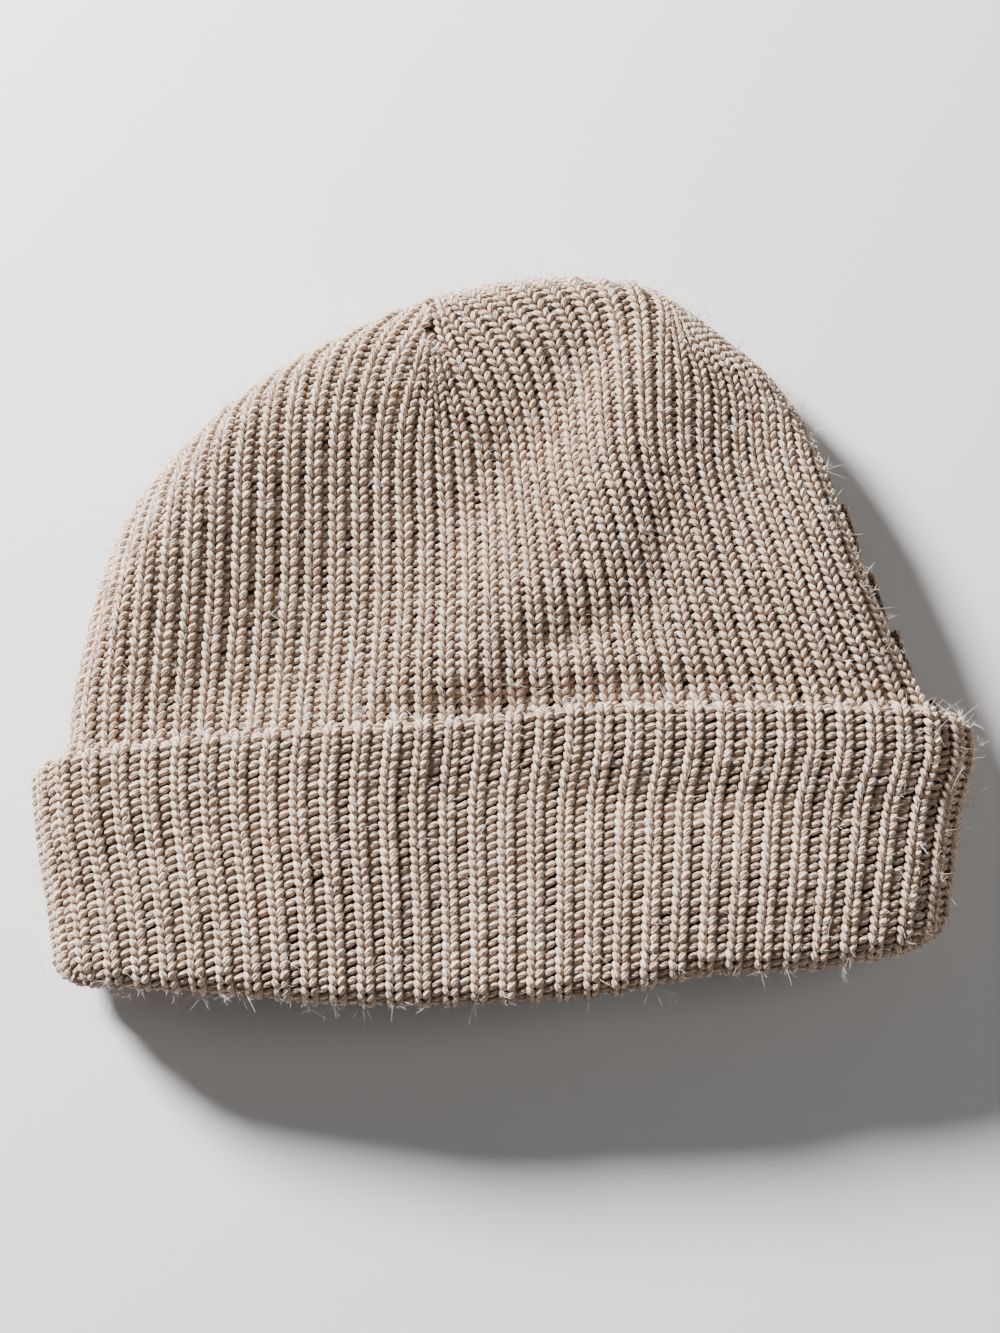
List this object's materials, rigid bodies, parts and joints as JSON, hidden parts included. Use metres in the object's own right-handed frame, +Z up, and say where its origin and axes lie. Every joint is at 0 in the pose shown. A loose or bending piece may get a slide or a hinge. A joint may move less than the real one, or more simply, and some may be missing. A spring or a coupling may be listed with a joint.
{
  "type": "beanie",
  "caption": "Chunky rib-knit wool beanie lying flat, with a turned-up cuff, a hollow darted crown and an open mouth.",
  "frame": {"origin": "on the floor under the middle of the hat's bounding box; the flat rest face of the back wall lies at z = 0", "axes": "+X across the hat from its left to its right side seen from above, +Y from the mouth to the top of the crown, +Z up off the floor"},
  "size_m": [0.2365, 0.1946, 0.0343],
  "materials": {
    "crown_knit": "chunky one by one rib knit in heathered oatmeal wool, soft and slightly fuzzy",
    "cuff_knit": "the same rib knit, turned up and a little fuller, with pale fibres along its edges"
  },
  "bodies": {
    "root": {"crown": "crown_knit", "cuff": "cuff_knit"}
  },
  "joints": []
}
